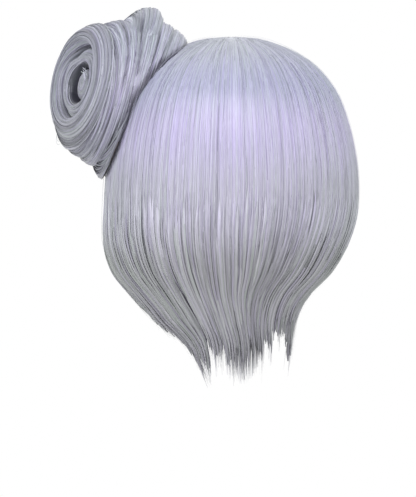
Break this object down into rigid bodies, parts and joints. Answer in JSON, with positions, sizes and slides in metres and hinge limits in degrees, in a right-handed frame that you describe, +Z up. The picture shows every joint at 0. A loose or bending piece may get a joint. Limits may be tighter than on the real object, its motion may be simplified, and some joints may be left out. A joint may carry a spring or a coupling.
{
  "type": "short bob wig with a side bun",
  "caption": "Straight silver lavender bob wig on a thin stretch cap, with pointed nape locks and a large wound bun on the wearer's left.",
  "frame": {"origin": "inside top of the cap, where the wig sits on the crown of a head", "axes": "+Z up, +Y towards the back of the head, -Y towards the face, +X towards the wearer's left, where the bun is"},
  "size_m": [0.2635, 0.2306, 0.319],
  "materials": {
    "hair": "straight synthetic fibre, silver with a lavender sheen",
    "bun_hair": "the same fibre, wound and combed smooth",
    "hair_under": "shaded fibre of the under layer",
    "cap_net": "matt stretch net",
    "elastic": "matt covered elastic"
  },
  "bodies": {
    "root": {"cap": "cap_net", "crown_hair": "hair", "back_hair": "hair", "left_hair": "hair", "right_hair": "hair", "fringe": "hair", "nape_layer": "hair_under", "bun_band_1": "bun_hair", "bun_band_2": "bun_hair", "bun_band_3": "bun_hair", "bun_band_4": "bun_hair", "bun_face_roll": "bun_hair", "bun_inner_coil": "bun_hair", "bun_core": "hair_under", "bun_top_lobe": "bun_hair", "bun_tie": "elastic"}
  },
  "joints": []
}
